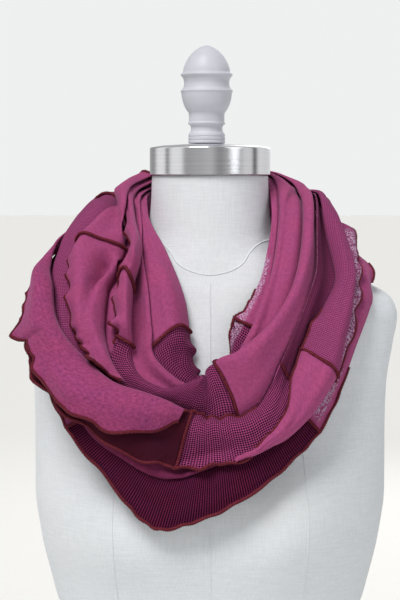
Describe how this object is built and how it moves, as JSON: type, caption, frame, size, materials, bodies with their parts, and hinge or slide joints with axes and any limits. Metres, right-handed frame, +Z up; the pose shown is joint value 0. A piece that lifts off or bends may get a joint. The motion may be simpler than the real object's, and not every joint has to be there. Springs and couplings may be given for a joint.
{
  "type": "infinity scarf on a dress form",
  "caption": "Patchwork knit loop scarf worn double over a limbless dress form, in soft lengthwise folds with serged seams; linen torso, metal neck cap and turned finial.",
  "frame": {"origin": "centre of the dress form's flat base, on the neck's upright axis", "axes": "+Z up through the neck and the finial, -Y out of the chest, +X to the right of someone who faces the front"},
  "size_m": [0.3393, 0.2733, 0.7561],
  "materials": {
    "jersey": "plain cotton jersey, pinkish plum, matt with a faint nap",
    "waffle": "waffle knit, deep wine with lighter cells, matt",
    "rib": "fine rib knit, plum, matt",
    "fleece": "brushed reverse of the jersey, soft nap",
    "linen": "plain off-white linen cover, matt",
    "steel": "bright spun metal",
    "painted": "pale grey satin paint"
  },
  "bodies": {
    "root": {"form_body": "linen", "neck_cap": "steel", "finial": "painted", "neck_fold_jersey_right": "jersey", "neck_fold_jersey_back": "jersey", "neck_fold_jersey_left": "jersey", "neck_fold_waffle_front": "waffle", "second_fold_jersey_right": "jersey", "second_fold_jersey_back": "jersey", "second_fold_jersey_left": "jersey", "third_fold_jersey_right": "jersey", "third_fold_jersey_back": "jersey", "third_fold_jersey_upper_left": "jersey", "third_fold_jersey_left": "jersey", "third_fold_waffle_front": "waffle", "lowest_fold_jersey_right": "jersey", "lowest_fold_jersey_back": "jersey", "lowest_fold_jersey_left": "jersey", "lowest_fold_waffle_front": "waffle", "knit_fold_rib_right": "rib", "knit_fold_rib_back": "rib", "knit_fold_rib_left": "rib", "knit_fold_jersey_front": "jersey", "upper_fold_rib_right": "rib", "upper_fold_jersey_back": "jersey", "upper_fold_jersey_upper_left": "jersey", "upper_fold_jersey_left": "jersey", "upper_fold_jersey_front": "jersey", "front_fold_rib_right": "rib", "front_fold_jersey_back": "jersey", "front_fold_jersey_left": "jersey", "front_fold_waffle_right": "waffle", "front_fold_turnover": "fleece"}
  },
  "joints": []
}
